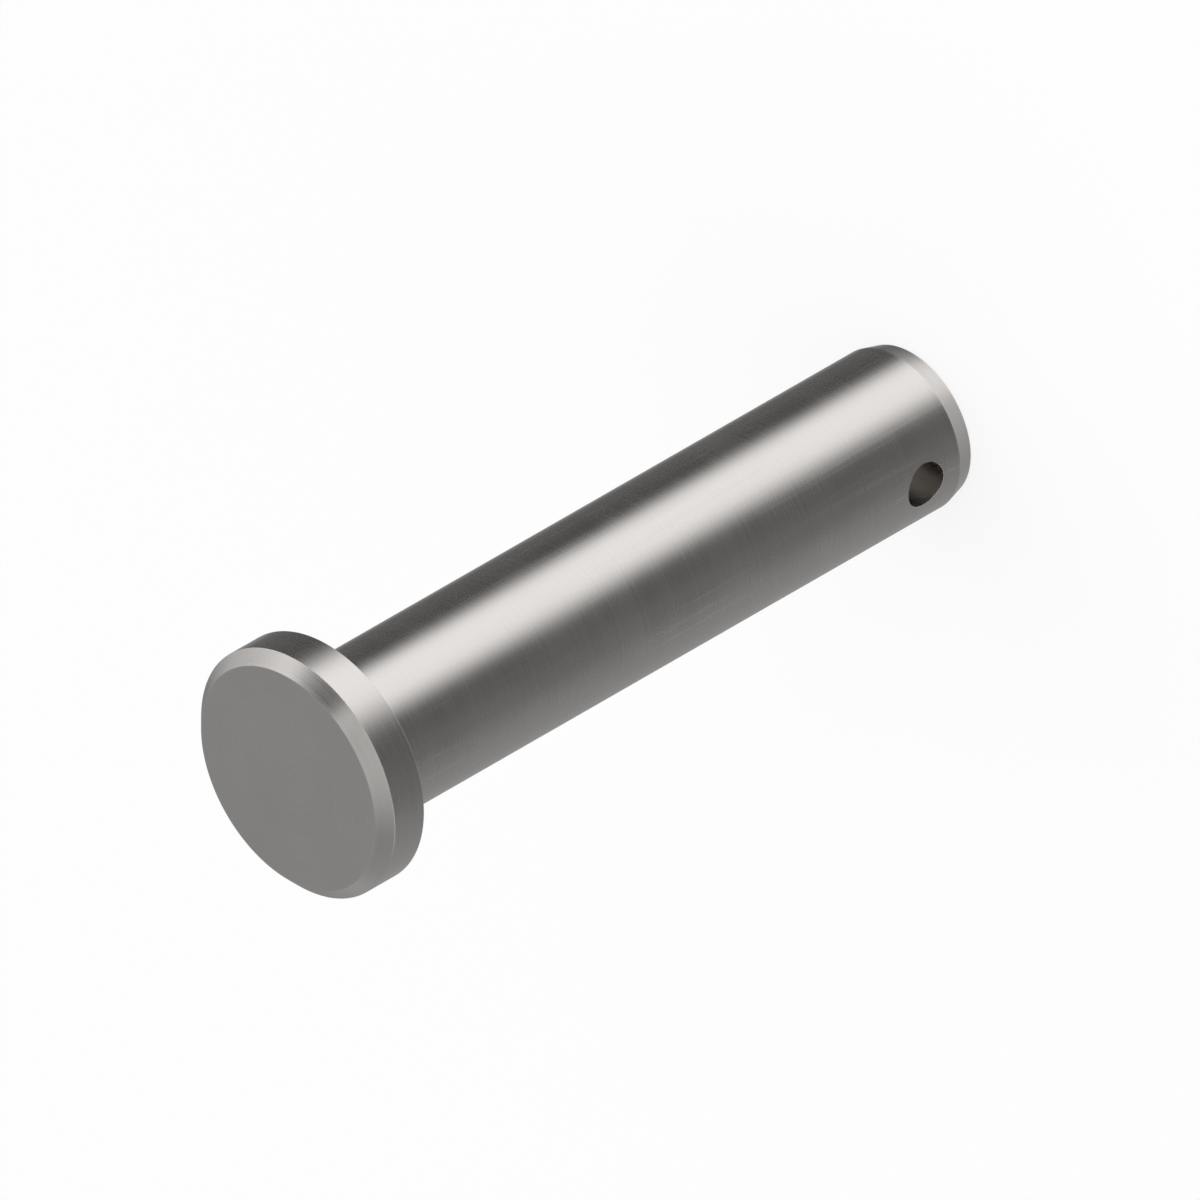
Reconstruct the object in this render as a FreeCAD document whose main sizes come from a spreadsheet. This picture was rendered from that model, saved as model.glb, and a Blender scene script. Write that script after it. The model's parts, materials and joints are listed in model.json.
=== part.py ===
"""Headed clevis pin with a cotter hole, turned from one bar. Millimetres.

The pin stands on its point end. +Z runs along the axis, from the point end up to the head, and
the origin is the centre of the end face. The cotter hole crosses the shank along Y.
"""

import FreeCAD, Part
import math
import os

import Sketcher

NODE = "clevis_pin"

# Driving dimensions, in millimetres and degrees
SIZES = {
    "shank_diameter": 13.0,
    "grip_length": 60.0,
    "head_diameter": 20.0,
    "head_height": 4.0,
    "head_chamfer": 1.0,
    "seat_fillet": 0.6,
    "point_length": 1.5,
    "point_angle": 15.0,
    "hole_diameter": 3.6,
    "hole_to_end": 5.0,
}

# Corners of the turned half section, in order. Each line runs from its own corner to the next.
END_FACE, POINT, SHANK, SEAT, RIM, HEAD_FACE, CENTRE_LINE = range(7)

# Sketcher's names for the ends of a line, and for the origin of the sketch
START, FINISH = 1, 2
SKETCH_ORIGIN = -1


def make_sheet(document):
    """The spreadsheet of driving dimensions: a name in column A, and its number in column B."""
    sheet = document.addObject("Spreadsheet::Sheet", "sizes")
    for row, (name, value) in enumerate(SIZES.items(), start=1):
        sheet.set(f"A{row}", name)
        sheet.set(f"B{row}", str(value))
        sheet.setAlias(f"B{row}", name)
    document.recompute()
    return sheet


def sketch_on(body, role, name):
    """A new sketch on one of the body's own origin planes."""
    plane = next(feature for feature in body.Origin.OriginFeatures if feature.Role == role)
    sketch = body.newObject("Sketcher::SketchObject", name)
    sketch.AttachmentSupport = (plane, [""])
    sketch.MapMode = "FlatFace"
    return sketch


def drive(sketch, kind, where, value, name, cells):
    """Add a named dimension to a sketch and bind it to the sheet's cells."""
    sketch.addConstraint(Sketcher.Constraint(kind, *where, value))
    sketch.renameConstraint(sketch.ConstraintCount - 1, name)
    sketch.setExpression(f"Constraints.{name}", cells)


def half_section(body, sheet):
    """Half of the pin's section, closed along its centre line, ready to be turned."""
    sketch = sketch_on(body, "XZ_Plane", "half_section")
    shank_radius = sheet.shank_diameter / 2
    head_radius = sheet.head_diameter / 2
    overall = sheet.grip_length + sheet.head_height
    end_radius = shank_radius - sheet.point_length * math.tan(math.radians(sheet.point_angle))
    corners = [
        (0, 0),
        (end_radius, 0),
        (shank_radius, sheet.point_length),
        (shank_radius, sheet.grip_length),
        (head_radius, sheet.grip_length),
        (head_radius, overall),
        (0, overall),
    ]
    points = [FreeCAD.Vector(radius, height, 0) for radius, height in corners]
    for start, finish in zip(points, points[1:] + points[:1]):
        sketch.addGeometry(Part.LineSegment(start, finish))

    for line in range(len(corners)):
        following = (line + 1) % len(corners)
        sketch.addConstraint(Sketcher.Constraint("Coincident", line, FINISH, following, START))
    sketch.addConstraint(Sketcher.Constraint("Coincident", END_FACE, START, SKETCH_ORIGIN, START))
    for line in (END_FACE, SEAT, HEAD_FACE):
        sketch.addConstraint(Sketcher.Constraint("Horizontal", line))
    for line in (SHANK, RIM, CENTRE_LINE):
        sketch.addConstraint(Sketcher.Constraint("Vertical", line))

    origin = (SKETCH_ORIGIN, START)
    drive(sketch, "DistanceX", (*origin, SHANK, START), shank_radius,
          "shank_radius", "sizes.shank_diameter / 2")
    drive(sketch, "DistanceX", (*origin, RIM, START), head_radius,
          "head_radius", "sizes.head_diameter / 2")
    drive(sketch, "DistanceY", (*origin, SHANK, START), sheet.point_length,
          "point_length", "sizes.point_length")
    drive(sketch, "Angle", (POINT,), math.radians(90 - sheet.point_angle),
          "point_slope", "(90 - sizes.point_angle) * 1 deg")
    drive(sketch, "DistanceY", (*origin, SEAT, START), sheet.grip_length,
          "grip_length", "sizes.grip_length")
    drive(sketch, "DistanceY", (RIM, START, RIM, FINISH), sheet.head_height,
          "head_height", "sizes.head_height")
    return sketch


def turn_blank(body, sketch):
    """The blank as it leaves the lathe: end, shank and head, with square corners."""
    blank = body.newObject("PartDesign::Revolution", "turned_blank")
    blank.Profile = sketch
    blank.ReferenceAxis = (sketch, ["V_Axis"])
    blank.Angle = 360.0
    sketch.Visibility = False
    body.Document.recompute()
    return blank


def circle_at(feature, radius, height):
    """The name of the feature's edge that is a circle of this radius at this height."""
    for number, edge in enumerate(feature.Shape.Edges, start=1):
        curve = edge.Curve
        if not isinstance(curve, Part.Circle):
            continue
        if math.isclose(curve.Radius, radius, abs_tol=1e-6) and math.isclose(
            curve.Center.z, height, abs_tol=1e-6
        ):
            return f"Edge{number}"
    raise ValueError(f"{feature.Label} has no circle of radius {radius} at height {height}")


def round_seat_corner(body, blank, sheet):
    """The fillet in the corner between the shank and the head's seat, which stops cracks."""
    fillet = body.newObject("PartDesign::Fillet", "seat_fillet")
    corner = circle_at(blank, sheet.shank_diameter / 2, sheet.grip_length)
    fillet.Base = (blank, [corner])
    fillet.setExpression("Radius", "sizes.seat_fillet")
    body.Document.recompute()
    return fillet


def chamfer_head(body, previous, sheet):
    """The 45 degree chamfer around the head's outer face."""
    chamfer = body.newObject("PartDesign::Chamfer", "head_chamfer")
    edge = circle_at(previous, sheet.head_diameter / 2, sheet.grip_length + sheet.head_height)
    chamfer.Base = (previous, [edge])
    chamfer.setExpression("Size", "sizes.head_chamfer")
    body.Document.recompute()
    return chamfer


def drill_cotter_hole(body, sheet):
    """The cross hole for a split pin, straight through the axis near the point end."""
    sketch = sketch_on(body, "XZ_Plane", "cotter_hole_circle")
    centre = FreeCAD.Vector(0, sheet.hole_to_end, 0)
    sketch.addGeometry(Part.Circle(centre, FreeCAD.Vector(0, 0, 1), sheet.hole_diameter / 2))
    circle, centre_point = 0, 3
    sketch.addConstraint(
        Sketcher.Constraint("Vertical", SKETCH_ORIGIN, START, circle, centre_point)
    )
    drive(sketch, "DistanceY", (SKETCH_ORIGIN, START, circle, centre_point), sheet.hole_to_end,
          "hole_to_end", "sizes.hole_to_end")
    drive(sketch, "Diameter", (circle,), sheet.hole_diameter,
          "hole_diameter", "sizes.hole_diameter")
    hole = body.newObject("PartDesign::Pocket", "cotter_hole")
    hole.Profile = sketch
    hole.Type = "ThroughAll"
    hole.SideType = "Symmetric"
    sketch.Visibility = False
    body.Document.recompute()
    return hole


def check_hole(before, after, sheet):
    """The hole must take out a round plug that is as long as the shank is wide there."""
    removed = before.Volume - after.Volume
    area = math.pi * sheet.hole_diameter**2 / 4
    longest = sheet.shank_diameter
    shortest = math.sqrt(sheet.shank_diameter**2 - sheet.hole_diameter**2)
    if not area * shortest < removed < area * longest:
        raise ValueError(f"the cotter hole removed {removed:.2f} mm3")


def check_document(document):
    """Stop if any object failed to compute, or if the pin isn't one valid solid."""
    for item in document.Objects:
        faults = {"Invalid", "Error"} & set(item.State)
        if faults:
            raise ValueError(f"{item.Label} is {', '.join(sorted(faults))}")
    shape = document.getObject(NODE).Shape
    if shape.isNull() or not shape.isValid() or len(shape.Solids) != 1:
        raise ValueError(f"{NODE} isn't one valid solid")


def make_pin(document, sheet):
    """The whole pin: turned blank, seat fillet, head chamfer, then the drilled hole."""
    body = document.addObject("PartDesign::Body", NODE)
    body.Label = NODE
    blank = turn_blank(body, half_section(body, sheet))
    filleted = round_seat_corner(body, blank, sheet)
    chamfered = chamfer_head(body, filleted, sheet)
    hole = drill_cotter_hole(body, sheet)
    body.Tip = hole
    document.recompute()
    check_hole(chamfered.Shape, hole.Shape, sheet)
    return body


def main():
    document = FreeCAD.newDocument("clevis_pin_model")
    sheet = make_sheet(document)
    pin = make_pin(document, sheet)
    check_document(document)
    os.makedirs("parts", exist_ok=True)
    pin.Shape.exportStep(f"parts/{pin.Label}.step")
    box = pin.Shape.BoundBox
    print(f"{pin.Label}: {box.XLength:.3f} x {box.YLength:.3f} x {box.ZLength:.3f} mm,"
          f" {pin.Shape.Volume:.1f} mm3")


main()
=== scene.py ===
"""Dresses a headed clevis pin in satin turned steel and shows it in a plain pale studio.

The pin stands on its point end, with its axis along +Z and its head up. Blender works in metres.
The sizes here are in millimetres, and are scaled where a mesh is made.
"""

import json
import logging
import math
from collections.abc import Mapping, Sequence
from dataclasses import dataclass, field
from enum import Enum
from typing import Any

import bmesh
import bpy
from mathutils import Matrix, Vector


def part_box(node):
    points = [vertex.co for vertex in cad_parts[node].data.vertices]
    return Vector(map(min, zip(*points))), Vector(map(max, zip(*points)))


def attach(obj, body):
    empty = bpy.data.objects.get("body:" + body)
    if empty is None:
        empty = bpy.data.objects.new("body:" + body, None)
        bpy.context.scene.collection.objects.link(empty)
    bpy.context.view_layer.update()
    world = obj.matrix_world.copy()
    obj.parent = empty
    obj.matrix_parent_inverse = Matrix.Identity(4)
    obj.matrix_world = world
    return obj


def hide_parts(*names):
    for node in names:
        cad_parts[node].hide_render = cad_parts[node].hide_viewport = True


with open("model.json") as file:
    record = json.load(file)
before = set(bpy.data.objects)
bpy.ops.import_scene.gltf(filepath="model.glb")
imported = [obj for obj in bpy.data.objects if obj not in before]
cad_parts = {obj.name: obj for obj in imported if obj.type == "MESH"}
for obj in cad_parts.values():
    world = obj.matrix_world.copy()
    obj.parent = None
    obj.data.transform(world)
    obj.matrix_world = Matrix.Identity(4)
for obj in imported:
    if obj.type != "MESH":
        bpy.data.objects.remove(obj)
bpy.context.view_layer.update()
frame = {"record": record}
MM = 0.001
SAME_HEIGHT = 1e-6
OPAQUE = 1.0
HALF_TURN = 180.0
NEAR_SIDE = -1
FAR_SIDE = 1
LOG = logging.getLogger("clevis_pin")

Colour = tuple[float, float, float]
Loop = list[bmesh.types.BMVert]

WHITE: Colour = (1.0, 1.0, 1.0)


class Signal:
    """A number that flows through a node tree. Arithmetic on it adds Math nodes."""

    def __init__(self, tree: "NodeTree", socket: bpy.types.NodeSocket) -> None:
        """Wrap an output socket.

        Args:
            tree: The node tree that holds the socket.
            socket: The output that the number comes from.
        """
        self.tree = tree
        self.socket = socket

    def __add__(self, other: "Signal | float") -> "Signal":
        """This number plus another."""
        return self.tree.math("ADD", self, other)

    def __sub__(self, other: "Signal | float") -> "Signal":
        """This number less another."""
        return self.tree.math("SUBTRACT", self, other)

    def __rsub__(self, other: float) -> "Signal":
        """A plain number less this one."""
        return self.tree.math("SUBTRACT", other, self)

    def __mul__(self, other: "Signal | float") -> "Signal":
        """This number times another."""
        return self.tree.math("MULTIPLY", self, other)

    def __truediv__(self, other: "Signal | float") -> "Signal":
        """This number divided by another."""
        return self.tree.math("DIVIDE", self, other)

    def __abs__(self) -> "Signal":
        """This number without its sign."""
        return self.tree.math("ABSOLUTE", self)

    __radd__ = __add__
    __rmul__ = __mul__

    def root(self) -> "Signal":
        """The square root."""
        return self.tree.math("SQRT", self)

    def larger(self, other: "Signal | float") -> "Signal":
        """Whichever of the two is larger."""
        return self.tree.math("MAXIMUM", self, other)

    def fade(self, start: float, end: float) -> "Signal":
        """Go smoothly from 0 to 1 as this number goes from start to end.

        Args:
            start: Where the result is 0.
            end: Where the result is 1. It may be below start.

        Returns:
            The faded number.
        """
        rising = end > start
        inputs = {
            "Value": self,
            "From Min": min(start, end),
            "From Max": max(start, end),
            "To Min": 0.0 if rising else 1.0,
            "To Max": 1.0 if rising else 0.0,
        }
        smooth = {"interpolation_type": "SMOOTHSTEP"}
        node = self.tree.add("ShaderNodeMapRange", smooth, inputs)
        return Signal(self.tree, node.outputs["Result"])


SocketValue = Signal | bpy.types.NodeSocket | float | Sequence[float]


class Grain(Enum):
    """How many finer layers a noise has over its broadest one."""

    SMOOTH = 1.0
    MIXED = 2.0
    ROUGH = 3.0


class NodeTree:
    """Builds one node tree, with every node made by the same method.

    The constants are the usual range of noise, and the numbers of sockets that share a name.
    """

    NOISE_LOW = 0.3
    NOISE_MIDDLE = 0.5
    NOISE_HIGH = 0.7
    COLOUR_A = 6
    COLOUR_B = 7
    COLOUR_RESULT = 2
    SHADER_SHARE = 0
    SHADER_A = 1
    SHADER_B = 2

    def __init__(self, owner: bpy.types.Material | bpy.types.World) -> None:
        """Take over an owner's node tree, emptied.

        Args:
            owner: The material or world that the nodes shade.
        """
        owner.use_nodes = True
        self.nodes = owner.node_tree.nodes
        self.links = owner.node_tree.links
        self.nodes.clear()

    def add(
        self,
        kind: str,
        settings: Mapping[str, Any] | None = None,
        inputs: Mapping[str | int, SocketValue] | None = None,
    ) -> bpy.types.Node:
        """Add a node. Its settings are made before its sockets are filled.

        Args:
            kind: The node's type.
            settings: Values of the node's own properties.
            inputs: A plain value or a link for each socket, by name or number.

        Returns:
            The new node.
        """
        node = self.nodes.new(kind)
        for name, value in (settings or {}).items():
            setattr(node, name, value)
        for name, value in (inputs or {}).items():
            if isinstance(value, Signal):
                value = value.socket
            if isinstance(value, bpy.types.NodeSocket):
                self.links.new(value, node.inputs[name])
            else:
                node.inputs[name].default_value = value
        return node

    def math(self, operation: str, *values: Signal | float) -> Signal:
        """Add a Math node.

        Args:
            operation: The name of the sum.
            values: What goes in, in order.

        Returns:
            The result.
        """
        node = self.add("ShaderNodeMath", {"operation": operation}, dict(enumerate(values)))
        return Signal(self, node.outputs["Value"])

    def scaled(self, vector: SocketValue, scale: Signal | float) -> bpy.types.NodeSocket:
        """Multiply a vector or colour by a number.

        Args:
            vector: The vector or colour.
            scale: The number.

        Returns:
            The scaled vector or colour.
        """
        scaling = {"operation": "SCALE"}
        node = self.add("ShaderNodeVectorMath", scaling, {0: vector, "Scale": scale})
        return node.outputs["Vector"]

    def mixed(self, first: Colour, second: Colour, share: Signal) -> bpy.types.NodeSocket:
        """Mix two colours.

        Args:
            first: The colour where the share is 0.
            second: The colour where the share is 1.
            share: How much of the second there is.

        Returns:
            The mixed colour.
        """
        colours = {self.COLOUR_A: (*first, OPAQUE), self.COLOUR_B: (*second, OPAQUE)}
        node = self.add("ShaderNodeMix", {"data_type": "RGBA"}, {"Factor": share, **colours})
        return node.outputs[self.COLOUR_RESULT]

    def parts(self, vector: bpy.types.NodeSocket) -> tuple[Signal, Signal, Signal]:
        """Split a vector into its X, Y and Z."""
        node = self.add("ShaderNodeSeparateXYZ", inputs={"Vector": vector})
        return tuple(Signal(self, node.outputs[axis]) for axis in "XYZ")

    def vector(self, x: Signal, y: Signal, z: Signal) -> bpy.types.NodeSocket:
        """Join three numbers into a vector."""
        node = self.add("ShaderNodeCombineXYZ", inputs={"X": x, "Y": y, "Z": z})
        return node.outputs["Vector"]

    def noise(self, place: Signal | bpy.types.NodeSocket, grain: Grain) -> Signal:
        """Add noise, about one unit across and mostly between NOISE_LOW and NOISE_HIGH.

        Args:
            place: A number for noise along a line, or a vector for noise in space.
            grain: How rough it is.

        Returns:
            The noise.
        """
        on_line = isinstance(place, Signal)
        node = self.add(
            "ShaderNodeTexNoise",
            {"noise_dimensions": "1D" if on_line else "3D"},
            {"W" if on_line else "Vector": place, "Scale": 1.0, "Detail": grain.value},
        )
        return Signal(self, node.outputs["Fac"])


class Draft:
    """A mesh in the making, in millimetres, that keeps the true surface direction at each vertex."""

    def __init__(self) -> None:
        """Start an empty mesh."""
        self._mesh = bmesh.new()
        self._directions: list[Vector] = []

    def vertex(self, place: Sequence[float], direction: Sequence[float]) -> bmesh.types.BMVert:
        """Add a vertex.

        Args:
            place: Where it is.
            direction: Which way the surface faces there, at any length.

        Returns:
            The vertex.
        """
        self._directions.append(Vector(direction).normalized())
        return self._mesh.verts.new(Vector(place) * MM)

    def face(self, *vertices: bmesh.types.BMVert) -> None:
        """Add a face."""
        self._mesh.faces.new(vertices)

    def band(self, before: Loop, after: Loop) -> None:
        """Join two closed loops that have as many vertices.

        Args:
            before: The first loop.
            after: The second loop, walked the same way.
        """
        for place in range(len(before)):
            following = (place + 1) % len(before)
            self.face(before[place], before[following], after[following], after[place])

    def finished(self, name: str) -> bpy.types.Mesh:
        """Make a smooth mesh of the draft.

        Args:
            name: The mesh's name.

        Returns:
            The mesh. The draft can't be used after this.
        """
        bare = [vertex for vertex in self._mesh.verts if not vertex.link_faces]
        kept = [
            direction
            for vertex, direction in zip(self._mesh.verts, self._directions)
            if vertex.link_faces
        ]
        bmesh.ops.delete(self._mesh, geom=bare, context="VERTS")
        bmesh.ops.recalc_face_normals(self._mesh, faces=self._mesh.faces[:])
        for face in self._mesh.faces:
            face.smooth = True
        mesh = bpy.data.meshes.new(name)
        self._mesh.to_mesh(mesh)
        self._mesh.free()
        mesh.normals_split_custom_set_from_vertices(kept)
        return mesh


@dataclass(frozen=True)
class Corner:
    """A corner of the turned outline. Millimetres from the axis and from the end face."""

    radius: float
    height: float
    rounding: float = 0.0
    rows_after: int = 1

    @property
    def place(self) -> Vector:
        """The corner's place in the outline's plane."""
        return Vector((self.radius, self.height))


@dataclass(frozen=True)
class Station:
    """A point of the finished outline, and the way that the surface faces there."""

    place: Vector
    direction: Vector


@dataclass(frozen=True)
class TurnedOutline:
    """Half of the pin's section, from the end face's centre to the head's, with soft corners."""

    corners: Sequence[Corner]
    rounding_steps: int = 4

    def stations(self) -> list[Station]:
        """Walk the outline.

        Returns:
            Its points in order: rows along each straight run, and an arc round each corner.
        """
        found = self._turn(0)
        for number, corner in enumerate(self.corners[:-1]):
            arc = self._turn(number + 1)
            start, end = found[-1].place, arc[0].place
            direction = self._direction(number)
            for row in range(1, corner.rows_after):
                found.append(Station(start.lerp(end, row / corner.rows_after), direction))
            found += arc
        return found

    def _run(self, number: int) -> Vector:
        """The way along the straight run after a corner."""
        return (self.corners[number + 1].place - self.corners[number].place).normalized()

    def _direction(self, number: int) -> Vector:
        """The way that the run after a corner faces."""
        run = self._run(number)
        return Vector((run.y, -run.x))

    def _turn(self, number: int) -> list[Station]:
        """Go round one corner.

        Args:
            number: The corner's place in the outline.

        Returns:
            Its stations, which are a single one if it is sharp or lies on a straight.
        """
        corner = self.corners[number]
        last = len(self.corners) - 1
        if corner.rounding == 0:
            return [Station(corner.place, self._direction(min(number, last - 1)))]
        before, after = self._run(number - 1), self._run(number)
        reach = corner.rounding * math.tan(math.acos(before.dot(after)) / 2)
        bulge = corner.rounding if before.cross(after) > 0 else -corner.rounding
        centre = corner.place - before * reach - self._direction(number - 1) * bulge
        arc = []
        for step in range(self.rounding_steps + 1):
            share = step / self.rounding_steps
            direction = self._direction(number - 1).slerp(self._direction(number), share)
            arc.append(Station(centre + direction * bulge, direction))
        return arc


@dataclass(frozen=True)
class Shank:
    """The plain cylinder that passes through the clevis, and its bevelled point. Millimetres."""

    radius: float
    seat_fillet: float = 0.6
    point_length: float = 1.5
    point_angle: float = 15.0

    @property
    def end_radius(self) -> float:
        """The radius of the flat end face, inside the bevel."""
        return self.radius - self.point_length * math.tan(math.radians(self.point_angle))


@dataclass(frozen=True)
class Head:
    """The chamfered disc that stops the pin. Millimetres above the end face."""

    radius: float
    seat_height: float
    top: float
    chamfer: float = 1.0

    @property
    def face_radius(self) -> float:
        """The radius of the flat outer face, inside the chamfer."""
        return self.radius - self.chamfer


@dataclass(frozen=True)
class CrossHole:
    """The hole for a split pin, drilled through the shank along Y. Millimetres."""

    radius: float
    height: float
    shank_radius: float
    mouth_break: float = 0.015
    window_reach: float = 2.75
    window_columns: int = 20
    window_rows: int = 20
    patch_rings: int = 6
    mouth_rings: int = 3
    wall_rows: int = 12

    @property
    def window_foot(self) -> float:
        """The height of the lower border of the window that each mouth is set in."""
        return self.height - self.window_reach

    @property
    def window_top(self) -> float:
        """The height of the window's upper border."""
        return self.height + self.window_reach

    def window_walk(self) -> list[tuple[int, int]]:
        """Walk a window's border.

        Returns:
            The column and row of each border vertex, counted from the window's centre.
        """
        across, up = self.window_columns // 2, self.window_rows // 2
        foot = [(column, -up) for column in range(-across, across)]
        right = [(across, row) for row in range(-up, up)]
        top = [(column, up) for column in range(across, -across, -1)]
        left = [(-across, row) for row in range(up, -up, -1)]
        return foot + right + top + left

    def drill(self, draft: Draft, borders: Mapping[int, Loop]) -> None:
        """Fill both windows round the hole's mouths, and line the hole between them.

        Args:
            draft: The pin's mesh, with its two windows open.
            borders: Each window's border vertices, by the side of the axis that it is on.
        """
        near, far = (self._mouth(draft, borders[side], side) for side in (NEAR_SIDE, FAR_SIDE))
        loop = near
        for row in range(1, self.wall_rows):
            following = []
            for start, end in zip(near, far):
                place = start.co.lerp(end.co, row / self.wall_rows) / MM
                inward = (-place.x, 0.0, self.height - place.z)
                following.append(draft.vertex(place, inward))
            draft.band(loop, following)
            loop = following
        draft.band(loop, far)

    def _mouth(self, draft: Draft, border: Loop, side: int) -> Loop:
        """Fill a window from its border to the hole, and break the mouth's sharp edge.

        Args:
            draft: The pin's mesh.
            border: The window's border vertices.
            side: NEAR_SIDE for the mouth that faces -Y, FAR_SIDE for the other.

        Returns:
            The loop of vertices where the hole's wall starts.
        """
        spokes = [Vector((v.co.x / MM, v.co.z / MM - self.height)) for v in border]
        outer = self.radius + self.mouth_break
        loop = border
        for ring in range(1, self.patch_rings + 1):
            following = []
            for spoke in spokes:
                x, lift = spoke.lerp(spoke.normalized() * outer, ring / self.patch_rings)
                y = side * math.sqrt(self.shank_radius**2 - x * x)
                following.append(draft.vertex((x, y, self.height + lift), (x, y, 0.0)))
            draft.band(loop, following)
            loop = following
        for ring in range(1, self.mouth_rings + 1):
            angle = math.pi / 2 * ring / self.mouth_rings
            reach = self.radius + self.mouth_break * (1 - math.sin(angle))
            sink = self.mouth_break * (1 - math.cos(angle))
            following = []
            for spoke in spokes:
                x, lift = spoke.normalized() * reach
                y = math.sqrt(self.shank_radius**2 - x * x)
                outward = Vector((x, side * y, 0.0)).normalized() * math.cos(angle)
                inward = Vector((-x, 0.0, -lift)).normalized() * math.sin(angle)
                place = (x, side * (y - sink), self.height + lift)
                following.append(draft.vertex(place, outward + inward))
            draft.band(loop, following)
            loop = following
        return loop


@dataclass(frozen=True)
class Mark:
    """What a mark does to the steel where it is full: to its tone, roughness and height in mm."""

    tone: float
    roughness: float
    relief: float = 0.0


@dataclass(frozen=True)
class SteelPlace:
    """A place on the pin in millimetres, as numbers that flow through its node tree."""

    whole: bpy.types.NodeSocket
    x: Signal
    y: Signal
    z: Signal
    radial: Signal

    @classmethod
    def shaded(cls, tree: NodeTree) -> "SteelPlace":
        """Read the place that is being shaded.

        Args:
            tree: The material's node tree.

        Returns:
            The place, in the pin's own coordinates.
        """
        whole = tree.scaled(tree.add("ShaderNodeTexCoord").outputs["Object"], 1 / MM)
        x, y, z = tree.parts(whole)
        return cls(whole, x, y, z, (x * x + y * y).root())


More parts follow.
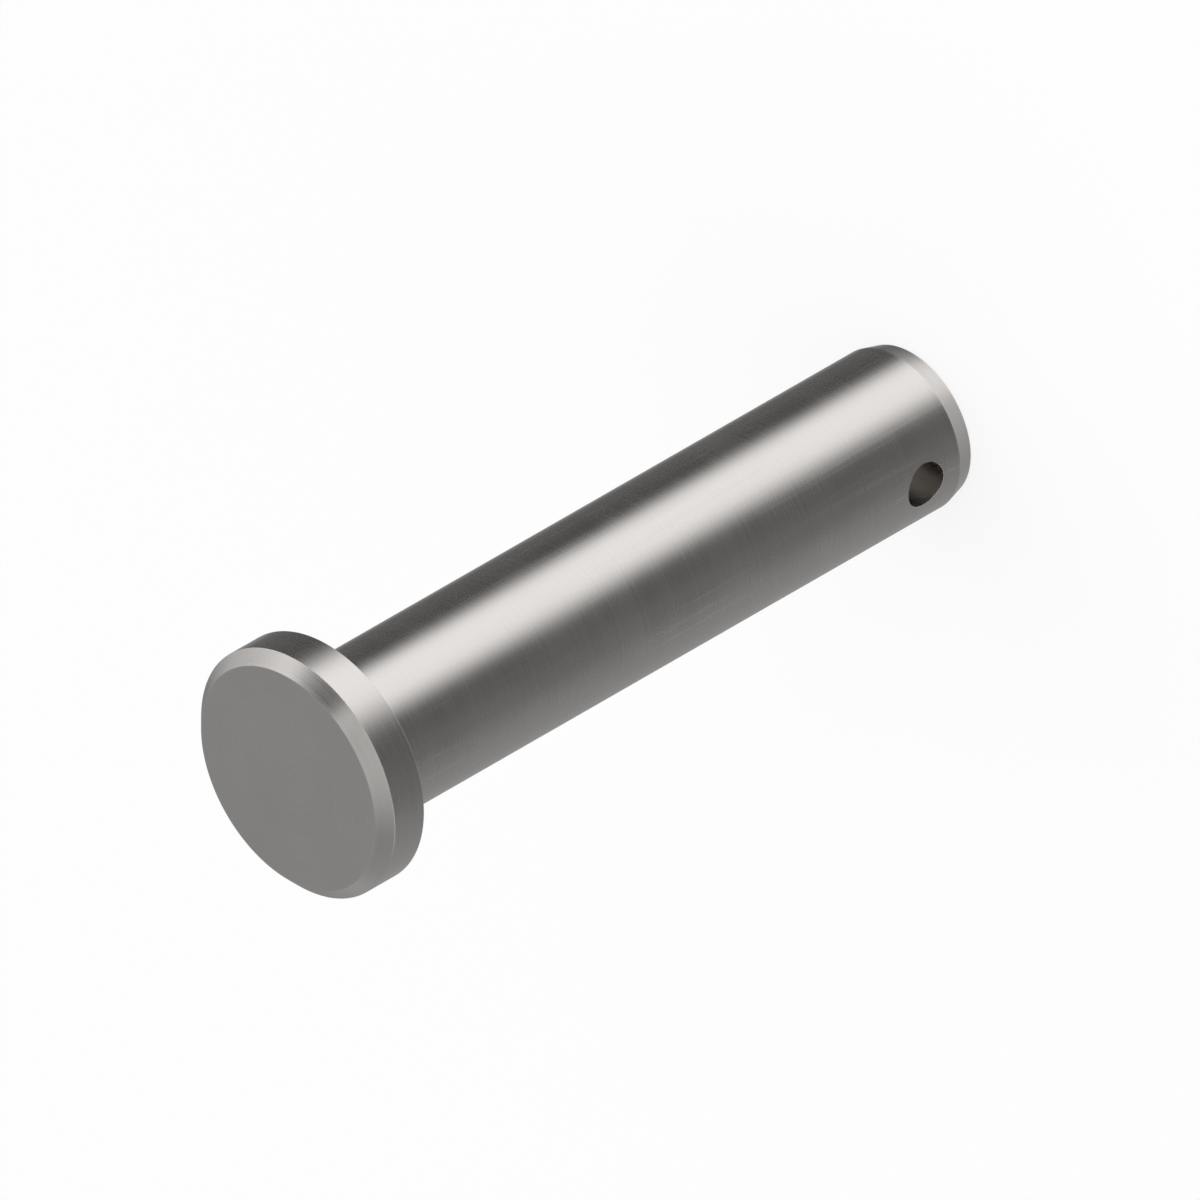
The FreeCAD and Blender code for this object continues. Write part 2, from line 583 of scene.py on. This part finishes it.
@dataclass(frozen=True)
class TurnedSteel:
    """Bare steel off the lathe: satin, with fine rings and a few light marks of handling.

    Pairs of scales are across and along the pin. Pairs of fades are a start and an end.
    The hole's wall is painted brighter than the steel: painted light that makes up for the light
    that is lost inside the hole.
    """

    name: str = "turned_steel"
    colour: Colour = (0.466, 0.449, 0.436)
    metallic: float = 1.0
    roughness: float = 0.27
    rings: Mark = Mark(tone=0.07, roughness=0.06, relief=0.002)
    clouds: Mark = Mark(tone=0.09, roughness=0.08)
    scuffs: Mark = Mark(tone=0.04, roughness=0.04)
    worn_edges: Mark = Mark(tone=0.04, roughness=0.02)
    ring_pitch: float = 0.30
    ring_wander: float = 0.04
    wander_per_mm: float = 0.2
    fine_ring_share: float = 0.6
    coarse_ring_ratio: float = 6.0
    reamed_share: float = 0.08
    clouds_per_mm: float = 0.14
    streaks_per_mm: tuple[float, float] = (3.0, 0.06)
    streak_fade: tuple[float, float] = (0.56, 0.72)
    patches_per_mm: tuple[float, float] = (0.3, 0.06)
    patch_fade: tuple[float, float] = (0.42, 0.62)
    off_shank_fade: tuple[float, float] = (0.3, 0.1)
    wear_reach: float = 0.3
    least_wear: float = 0.3
    # Painted light: a brighter steel colour for the hole's wall, standing in for the light that is
    # lost inside it.
    bore_brightened_colour: Colour = (0.68, 0.654, 0.630)
    bore_margin: float = 0.01

    def material(self, pin: "ClevisPin") -> bpy.types.Material:
        """Make the steel's material for a pin.

        Args:
            pin: The pin whose edges and hole the marks follow.

        Returns:
            The material.
        """
        material = bpy.data.materials.new(self.name)
        tree = NodeTree(material)
        at = SteelPlace.shaded(tree)
        in_bore = self._bore(pin.hole, at)
        marks = (
            (self.rings, self._rings(tree, at, in_bore)),
            (self.clouds, self._clouds(tree, at)),
            (self.scuffs, self._scuffs(tree, pin, at)),
            (self.worn_edges, self._wear(tree, pin, at)),
        )
        tone = sum(amount * mark.tone for mark, amount in marks) + 1.0
        roughness = sum(amount * mark.roughness for mark, amount in marks) + self.roughness
        relief = sum(amount * mark.relief for mark, amount in marks if mark.relief)
        # The hole's wall takes the brighter colour, which is painted light and not a finish of its
        # own.
        steel = tree.mixed(self.colour, self.bore_brightened_colour, in_bore)
        bump = tree.add("ShaderNodeBump", inputs={"Distance": MM, "Height": relief})
        shader = tree.add(
            "ShaderNodeBsdfPrincipled",
            inputs={
                "Base Color": tree.scaled(steel, tone),
                "Metallic": self.metallic,
                "Roughness": roughness,
                "Normal": bump.outputs["Normal"],
            },
        )
        tree.add("ShaderNodeOutputMaterial", inputs={"Surface": shader.outputs["BSDF"]})
        return material

    def _bore(self, hole: CrossHole, at: SteelPlace) -> Signal:
        """Mark the wall of the cross hole, and nothing outside it.

        Args:
            hole: The cross hole.
            at: The place that is being shaded.

        Returns:
            1 on the wall, and 0 elsewhere.
        """
        lift = at.z - hole.height
        from_axis = (at.x * at.x + lift * lift).root()
        within = from_axis.fade(hole.radius + hole.mouth_break, hole.radius + self.bore_margin)
        return within * at.radial.fade(hole.shank_radius, hole.shank_radius - hole.mouth_break)

    def _rings(self, tree: NodeTree, at: SteelPlace, in_bore: Signal) -> Signal:
        """Draw the tool's rings: round the pin outside, and faintly inside the hole.

        Args:
            tree: The material's node tree.
            at: The place that is being shaded.
            in_bore: 1 on the hole's wall, and 0 elsewhere.

        Returns:
            The rings, about zero.
        """
        wander = tree.noise(tree.scaled(at.whole, self.wander_per_mm), Grain.SMOOTH)
        wander = wander * self.ring_wander
        travel = (at.z - at.radial + wander) / self.ring_pitch
        fine = tree.noise(travel, Grain.MIXED) * self.fine_ring_share
        coarse = tree.noise(travel / self.coarse_ring_ratio, Grain.MIXED)
        outside = fine + coarse * (1.0 - self.fine_ring_share) - tree.NOISE_MIDDLE
        inside = tree.noise((at.y + wander) / self.ring_pitch, Grain.SMOOTH) - tree.NOISE_MIDDLE
        return outside * (1.0 - in_bore) + inside * in_bore * self.reamed_share

    def _clouds(self, tree: NodeTree, at: SteelPlace) -> Signal:
        """Draw slow changes over the steel, about zero."""
        clouds = tree.noise(tree.scaled(at.whole, self.clouds_per_mm), Grain.ROUGH)
        return clouds - tree.NOISE_MIDDLE

    def _scuffs(self, tree: NodeTree, pin: "ClevisPin", at: SteelPlace) -> Signal:
        """Draw faint streaks along the shank, where it has slid through its clevis.

        Args:
            tree: The material's node tree.
            pin: The pin that has slid.
            at: The place that is being shaded.

        Returns:
            The streaks, from 0 to 1.
        """
        streaks, patches = (
            tree.noise(tree.vector(at.x * across, at.y * across, at.z * along), Grain.SMOOTH)
            for across, along in (self.streaks_per_mm, self.patches_per_mm)
        )
        on_shank = abs(at.radial - pin.shank.radius).fade(*self.off_shank_fade)
        return streaks.fade(*self.streak_fade) * patches.fade(*self.patch_fade) * on_shank

    def _wear(self, tree: NodeTree, pin: "ClevisPin", at: SteelPlace) -> Signal:
        """Find the outer edges, where they have rubbed.

        Args:
            tree: The material's node tree.
            pin: The pin whose edges stand proud.
            at: The place that is being shaded.

        Returns:
            The wear, uneven along the edges, and 0 away from them.
        """
        nearest = None
        for edge in pin.proud_edges():
            out, up = at.radial - edge.radius, at.z - edge.height
            closeness = (out * out + up * up).root().fade(self.wear_reach, 0.0)
            nearest = closeness if nearest is None else nearest.larger(closeness)
        rubbed = tree.noise(at.whole, Grain.MIXED).fade(tree.NOISE_LOW, tree.NOISE_HIGH)
        return nearest * (rubbed * (1.0 - self.least_wear) + self.least_wear)


class Stretch(Enum):
    """A stretch of the pin's surface that is laid flat in one piece."""

    SHANK = "shank and bevel"
    RIM = "head's rim"
    FACE = "head's face and chamfer"
    SEAT = "head's underside"
    END = "end face"
    BORE = "wall of the cross hole"


@dataclass(frozen=True)
class FlatSheet:
    """The square sheet that the pin's surface is laid out on. Millimetres."""

    pin: "ClevisPin"
    gap: float = 0.6
    steepest_face: float = 0.6
    map_name: str = "OFBake"

    def lay_out(self, mesh: bpy.types.Mesh) -> None:
        """Give a mesh its map, with one cut along each turned stretch.

        Args:
            mesh: The pin's mesh.
        """
        layer = mesh.uv_layers.new(name=self.map_name)
        corners, side = self._corners()
        for polygon in mesh.polygons:
            middle = polygon.center / MM
            stretch = self._stretch(middle, polygon.normal)
            for loop in polygon.loop_indices:
                place = mesh.vertices[mesh.loops[loop].vertex_index].co / MM
                spot = corners[stretch] + self._spot(stretch, place, middle)
                layer.uv[loop].vector = spot / side

    def _corners(self) -> tuple[dict[Stretch, Vector], float]:
        """Place the stretches: the shank and rim on the left, and the rest beside them.

        Returns:
            Each stretch's lower left corner, or its centre if it is round, and the sheet's side.
        """
        shank, head, gap = self.pin.shank, self.pin.head, self.gap
        left = gap + math.tau * shank.radius + gap
        upper = gap + 2 * (2 * head.radius + gap)
        bore_left = left + 2 * shank.end_radius + gap
        side = bore_left + math.tau * self.pin.hole.radius + gap
        corners = {
            Stretch.SHANK: Vector((gap, gap)),
            Stretch.RIM: Vector((gap, gap + head.seat_height + gap)),
            Stretch.FACE: Vector((left + head.radius, gap + head.radius)),
            Stretch.SEAT: Vector((left + head.radius, upper - gap - head.radius)),
            Stretch.END: Vector((left + shank.end_radius, upper + shank.end_radius)),
            Stretch.BORE: Vector((bore_left, upper + shank.radius)),
        }
        return corners, side

    def _stretch(self, middle: Vector, normal: Vector) -> Stretch:
        """Which stretch a face belongs to.

        Args:
            middle: The face's centre.
            normal: The way it faces.

        Returns:
            The stretch.
        """
        hole, head = self.pin.hole, self.pin.head
        if math.hypot(middle.x, middle.z - hole.height) < hole.radius + hole.mouth_break / 2:
            return Stretch.BORE
        if normal.z > self.steepest_face:
            return Stretch.FACE
        if normal.z < -self.steepest_face:
            return Stretch.END if middle.z < head.seat_height / 2 else Stretch.SEAT
        return Stretch.RIM if middle.z > head.seat_height else Stretch.SHANK

    def _spot(self, stretch: Stretch, place: Vector, middle: Vector) -> Vector:
        """Where a vertex lies within its stretch.

        Args:
            stretch: The stretch.
            place: The vertex.
            middle: The centre of its face, which keeps the face whole where the stretch is cut.

        Returns:
            The spot, from the stretch's corner or centre.
        """
        if stretch is Stretch.FACE:
            return Vector((place.x, place.y))
        if stretch in (Stretch.SEAT, Stretch.END):
            return Vector((place.x, -place.y))
        if stretch is Stretch.BORE:
            height = self.pin.hole.height
            angle = math.atan2(place.z - height, place.x)
            near = math.atan2(middle.z - height, middle.x)
            radius, along = self.pin.hole.radius, place.y
        else:
            angle = math.atan2(place.y, place.x)
            near = math.atan2(middle.y, middle.x)
            rim = stretch is Stretch.RIM
            radius = self.pin.head.radius if rim else self.pin.shank.radius
            along = place.z - (self.pin.head.seat_height if rim else 0.0)
        turn = near % math.tau + math.remainder(angle - near, math.tau)
        return Vector((turn * radius, along))


@dataclass(frozen=True)
class ClevisPin:
    """The whole pin, turned about Z and drilled across. Millimetres."""

    shank: Shank
    head: Head
    hole: CrossHole
    finish: TurnedSteel = field(default_factory=TurnedSteel)
    edge_break: float = 0.04
    columns: int = 144
    node: str = "clevis_pin"
    body: str = "root"

    @classmethod
    def from_frame(cls, node: str = "clevis_pin") -> "ClevisPin":
        """Read the pin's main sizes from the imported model.

        Args:
            node: The model's node for the pin.

        Returns:
            A pin of those sizes.
        """
        low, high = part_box(node)
        mounts = {mount["name"]: mount for mount in frame["record"]["mounts"]}
        shank, seat, hole = (mounts[name] for name in ("shank", "head_seat", "split_pin_hole"))
        shank_radius = shank["dims"]["r_mm"]
        return cls(
            shank=Shank(shank_radius),
            head=Head((high.x - low.x) / 2 / MM, seat["pos_m"][2] / MM, high.z / MM),
            hole=CrossHole(hole["dims"]["r_mm"], hole["pos_m"][2] / MM, shank_radius),
            node=node,
        )

    def proud_edges(self) -> tuple[Corner, ...]:
        """List the edges that stand proud, broken as a file leaves them.

        Returns:
            The edges, from the end face to the head's face.
        """
        shank, head, soft = self.shank, self.head, self.edge_break
        return (
            Corner(shank.end_radius, 0.0, soft, rows_after=3),
            Corner(shank.radius, shank.point_length, soft),
            Corner(head.radius, head.seat_height, soft, rows_after=3),
            Corner(head.radius, head.top - head.chamfer, soft, rows_after=2),
            Corner(head.face_radius, head.top, soft, rows_after=8),
        )

    def outline(self) -> TurnedOutline:
        """Draw the section that is turned.

        Returns:
            The outline, with a row of the shank at each border of the windows.
        """
        shank, head, hole = self.shank, self.head, self.hole
        end, bevel_top, *head_edges = self.proud_edges()
        return TurnedOutline((
            Corner(0.0, 0.0, rows_after=6),
            end,
            bevel_top,
            Corner(shank.radius, hole.window_foot, rows_after=hole.window_rows),
            Corner(shank.radius, hole.window_top, rows_after=26),
            Corner(shank.radius, head.seat_height, shank.seat_fillet, rows_after=4),
            *head_edges,
            Corner(0.0, head.top),
        ))

    def build(self) -> bpy.types.Object:
        """Make the pin in the place of its node, and dress it.

        Returns:
            The pin's object, riding on its body.
        """
        draft = Draft()
        stations = self.outline().stations()
        rings = [self._ring(draft, station) for station in stations]
        window = self._window(stations)
        for number in range(len(rings) - 1):
            self._close(draft, rings[number], rings[number + 1], number in window)
        self.hole.drill(draft, self._borders(rings, window))
        mesh = draft.finished("turned_pin")
        FlatSheet(self).lay_out(mesh)
        mesh.materials.append(self.finish.material(self))
        piece = bpy.data.objects.new("turned_pin", mesh)
        bpy.context.scene.collection.objects.link(piece)
        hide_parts(self.node)
        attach(piece, self.body)
        return piece

    def _ring(self, draft: Draft, station: Station) -> Loop:
        """Turn one station round the axis.

        Args:
            draft: The pin's mesh.
            station: The point of the outline to turn.

        Returns:
            A ring of vertices, or a single one if the station is on the axis.
        """
        radius, height = station.place
        out, up = station.direction
        if radius == 0:
            return [draft.vertex((0.0, 0.0, height), (0.0, 0.0, up))]
        ring = []
        for column in range(self.columns):
            angle = math.tau * column / self.columns
            cos, sin = math.cos(angle), math.sin(angle)
            place = (radius * cos, radius * sin, height)
            ring.append(draft.vertex(place, (out * cos, out * sin, up)))
        return ring

    def _window(self, stations: Sequence[Station]) -> range:
        """Find where the windows are cut.

        Args:
            stations: The points of the outline.

        Returns:
            The numbers of the stations that have an open band above them.
        """
        foot = next(
            number
            for number, station in enumerate(stations)
            if math.isclose(station.place.y, self.hole.window_foot, abs_tol=SAME_HEIGHT)
        )
        return range(foot, foot + self.hole.window_rows)

    def _centres(self) -> dict[int, int]:
        """The column at the middle of each window, by the side of the axis that it is on."""
        return {NEAR_SIDE: 3 * self.columns // 4, FAR_SIDE: self.columns // 4}

    def _close(self, draft: Draft, lower: Loop, upper: Loop, has_windows: bool) -> None:
        """Fill the band between two rings.

        Args:
            draft: The pin's mesh.
            lower: The ring below, or a single vertex.
            upper: The ring above, or a single vertex.
            has_windows: Whether the two windows stay open.
        """
        half = self.hole.window_columns // 2
        for column in range(self.columns):
            following = (column + 1) % self.columns
            if len(lower) == 1:
                draft.face(lower[0], upper[column], upper[following])
            elif len(upper) == 1:
                draft.face(lower[column], upper[0], lower[following])
            elif not has_windows or not any(
                centre - half <= column < centre + half for centre in self._centres().values()
            ):
                draft.face(lower[column], lower[following], upper[following], upper[column])

    def _borders(self, rings: Sequence[Loop], window: range) -> dict[int, Loop]:
        """Gather each window's border, walked the same way as seen along +Y.

        Args:
            rings: The turned rings.
            window: The numbers of the rings that the windows start from.

        Returns:
            The border vertices, by the side of the axis that they are on.
        """
        middle = window.start + self.hole.window_rows // 2
        return {
            side: [
                rings[middle + row][centre - side * column]
                for column, row in self.hole.window_walk()
            ]
            for side, centre in self._centres().items()
        }


class Effect(Enum):
    """What a soft panel does to the light that comes from its side."""

    LIGHT = 1.0
    SHADE = -1.0


@dataclass(frozen=True)
class SoftPanel:
    """A soft-edged panel far from the pin, placed by the direction that it is seen in. Degrees."""

    name: str
    effect: Effect
    strength: float
    azimuth: float
    elevation: float
    half_width: float
    half_height: float
    softness: float

    def light(self, tree: NodeTree, azimuth: Signal, elevation: Signal) -> Signal:
        """What the panel adds to the light.

        Args:
            tree: The world's node tree.
            azimuth: The direction looked in, in degrees from +X.
            elevation: That direction's height above the horizon.

        Returns:
            The light, below 0 where the panel shades.
        """
        aside = abs(tree.math("WRAP", azimuth - self.azimuth, HALF_TURN, -HALF_TURN))
        above = abs(elevation - self.elevation)
        across = aside.fade(self.half_width + self.softness, self.half_width - self.softness)
        upward = above.fade(self.half_height + self.softness, self.half_height - self.softness)
        return across * upward * (self.strength * self.effect.value)


@dataclass(frozen=True)
class Studio:
    """A plain pale floor, one wide lamp overhead, and soft panels all round."""

    ambient: float = 0.46
    darkest: float = 0.02
    panels: tuple[SoftPanel, ...] = (
        SoftPanel("front softbox", Effect.LIGHT, 2.18, azimuth=-1, elevation=-43,
                  half_width=33, half_height=15, softness=19),
        SoftPanel("table glow", Effect.LIGHT, 2.08, azimuth=-7, elevation=-90,
                  half_width=180, half_height=11, softness=31),
        SoftPanel("lower right light", Effect.LIGHT, 0.50, azimuth=43, elevation=-57,
                  half_width=11, half_height=6, softness=9),
        SoftPanel("right reflector", Effect.LIGHT, 0.44, azimuth=42, elevation=30,
                  half_width=66, half_height=34, softness=14),
        SoftPanel("front reflector", Effect.LIGHT, 2.50, azimuth=-28, elevation=29,
                  half_width=77, half_height=10, softness=44),
        SoftPanel("rear reflector", Effect.LIGHT, 0.16, azimuth=167, elevation=-5,
                  half_width=21, half_height=15, softness=11),
        SoftPanel("left strip light", Effect.LIGHT, 3.2, azimuth=-124, elevation=-5,
                  half_width=20, half_height=9, softness=8),
        SoftPanel("right strip light", Effect.LIGHT, 2.6, azimuth=58, elevation=-5,
                  half_width=15, half_height=9, softness=8),
        SoftPanel("front strip light", Effect.LIGHT, 1.6, azimuth=-38, elevation=-4,
                  half_width=9, half_height=8, softness=7),
        SoftPanel("left curtain", Effect.SHADE, 0.70, azimuth=-39, elevation=11,
                  half_width=74, half_height=41, softness=60),
        SoftPanel("right flag", Effect.SHADE, 0.30, azimuth=71, elevation=-33,
                  half_width=42, half_height=17, softness=7),
        SoftPanel("top flag", Effect.SHADE, 1.54, azimuth=17, elevation=50,
                  half_width=27, half_height=11, softness=5),
        SoftPanel("rear flag", Effect.SHADE, 0.18, azimuth=-172, elevation=-18,
                  half_width=73, half_height=14, softness=5),
    )
    lamp_power: float = 3.6
    lamp_height: float = 1.0
    lamp_width: float = 0.9
    floor_reach: float = 4.0
    floor_colour: Colour = (0.92, 0.92, 0.92)
    paper_glow: Colour = WHITE
    paper_share: float = 0.8

    def build(self) -> None:
        """Make the floor, the lamp and the panels."""
        self._lay_floor()
        self._hang_lamp()
        self._stand_panels()

    def _lay_floor(self) -> None:
        """Lay the floor. The steel is lit past it, as if it stood on glass above the panels."""
        reach = self.floor_reach
        mesh = bpy.data.meshes.new("floor")
        corners = [(-reach, -reach, 0), (reach, -reach, 0), (reach, reach, 0), (-reach, reach, 0)]
        mesh.from_pydata(corners, [], [(0, 1, 2, 3)])
        mesh.materials.append(self._paper())
        floor = bpy.data.objects.new("floor", mesh)
        bpy.context.scene.collection.objects.link(floor)
        floor.visible_glossy = False
        floor.visible_shadow = False

    def _paper(self) -> bpy.types.Material:
        """Make the floor's pale paper, which glows to the eye, so that its shadow is faint.

        Returns:
            The paper's material.
        """
        material = bpy.data.materials.new("pale_paper")
        tree = NodeTree(material)
        path = tree.add("ShaderNodeLightPath")
        seen = Signal(tree, path.outputs["Is Camera Ray"])
        for ray in ("Is Glossy Ray", "Is Transmission Ray"):
            seen = seen.larger(Signal(tree, path.outputs[ray]))
        lit = tree.add("ShaderNodeBsdfDiffuse", inputs={"Color": (*self.floor_colour, OPAQUE)})
        glow = tree.add("ShaderNodeEmission", inputs={"Color": (*self.paper_glow, OPAQUE)})
        blend = {
            tree.SHADER_SHARE: seen * self.paper_share,
            tree.SHADER_A: lit.outputs["BSDF"],
            tree.SHADER_B: glow.outputs["Emission"],
        }
        shader = tree.add("ShaderNodeMixShader", inputs=blend)
        tree.add("ShaderNodeOutputMaterial", inputs={"Surface": shader.outputs["Shader"]})
        return material

    def _hang_lamp(self) -> None:
        """Hang the lamp straight above the pin."""
        lamp = bpy.data.lights.new("overhead_lamp", "AREA")
        lamp.shape = "DISK"
        lamp.size = self.lamp_width
        lamp.energy = self.lamp_power
        holder = bpy.data.objects.new("overhead_lamp", lamp)
        holder.location = (0.0, 0.0, self.lamp_height)
        holder.visible_glossy = False
        bpy.context.scene.collection.objects.link(holder)

    def _stand_panels(self) -> None:
        """Light the pin from all round."""
        world = bpy.data.worlds.new("studio")
        tree = NodeTree(world)
        x, y, z = tree.parts(tree.add("ShaderNodeTexCoord").outputs["Generated"])
        azimuth = tree.math("ARCTAN2", y, x) * math.degrees(1.0)
        elevation = tree.math("ARCSINE", z) * math.degrees(1.0)
        light = sum(panel.light(tree, azimuth, elevation) for panel in self.panels)
        strength = (light + self.ambient).larger(self.darkest)
        inputs = {"Color": (*WHITE, OPAQUE), "Strength": strength}
        background = tree.add("ShaderNodeBackground", inputs=inputs)
        tree.add("ShaderNodeOutputWorld", inputs={"Surface": background.outputs["Background"]})
        bpy.context.scene.world = world


@dataclass(frozen=True)
class PictureView:
    """The photograph's view: parallel lines of sight, with the pin leaning across the frame."""

    azimuth: float = 44.862
    elevation: float = 35.197
    roll: float = -119.84
    frame_pixels: float = 1200.0
    pixels_per_mm: float = 13.7445
    seat_centre_pixel: tuple[float, float] = (327.20, 756.39)
    distance: float = 0.5

    def place(self, head: Head) -> None:
        """Make the scene's camera.

        Args:
            head: The pin's head. The centre of its seat has a known pixel.
        """
        turn, tilt = math.radians(self.azimuth), math.radians(self.elevation)
        level = math.cos(tilt)
        back = Vector((math.sin(turn) * level, -math.cos(turn) * level, math.sin(tilt)))
        upright = back.to_track_quat("Z", "Y").to_matrix()
        leaning = Matrix.Rotation(math.radians(self.roll), 3, back) @ upright
        right, up = leaning.col[0], leaning.col[1]
        column, row = self.seat_centre_pixel
        middle = self.frame_pixels / 2
        to_middle = (right * (middle - column) + up * (row - middle)) / self.pixels_per_mm
        seat = Vector((0.0, 0.0, head.seat_height))
        lens = bpy.data.cameras.new("picture_view")
        lens.type = "ORTHO"
        lens.ortho_scale = self.frame_pixels / self.pixels_per_mm * MM
        camera = bpy.data.objects.new("picture_view", lens)
        camera.matrix_world = leaning.to_4x4()
        camera.location = (seat + to_middle) * MM + back * self.distance
        bpy.context.scene.collection.objects.link(camera)
        bpy.context.scene.camera = camera


def main() -> None:
    """Build the pin and its studio, and report each piece."""
    logging.basicConfig(level=logging.INFO, format="%(message)s")
    pin = ClevisPin.from_frame()
    piece = pin.build()
    LOG.info("%s: %d faces, in %s", piece.name, len(piece.data.polygons), pin.finish.name)
    studio = Studio()
    studio.build()
    panels = ", ".join(panel.name for panel in studio.panels)
    LOG.info("studio: floor, overhead lamp, %s", panels)
    PictureView().place(pin.head)
    bpy.context.scene.view_settings.view_transform = "Standard"


if __name__ == "__main__":
    main()
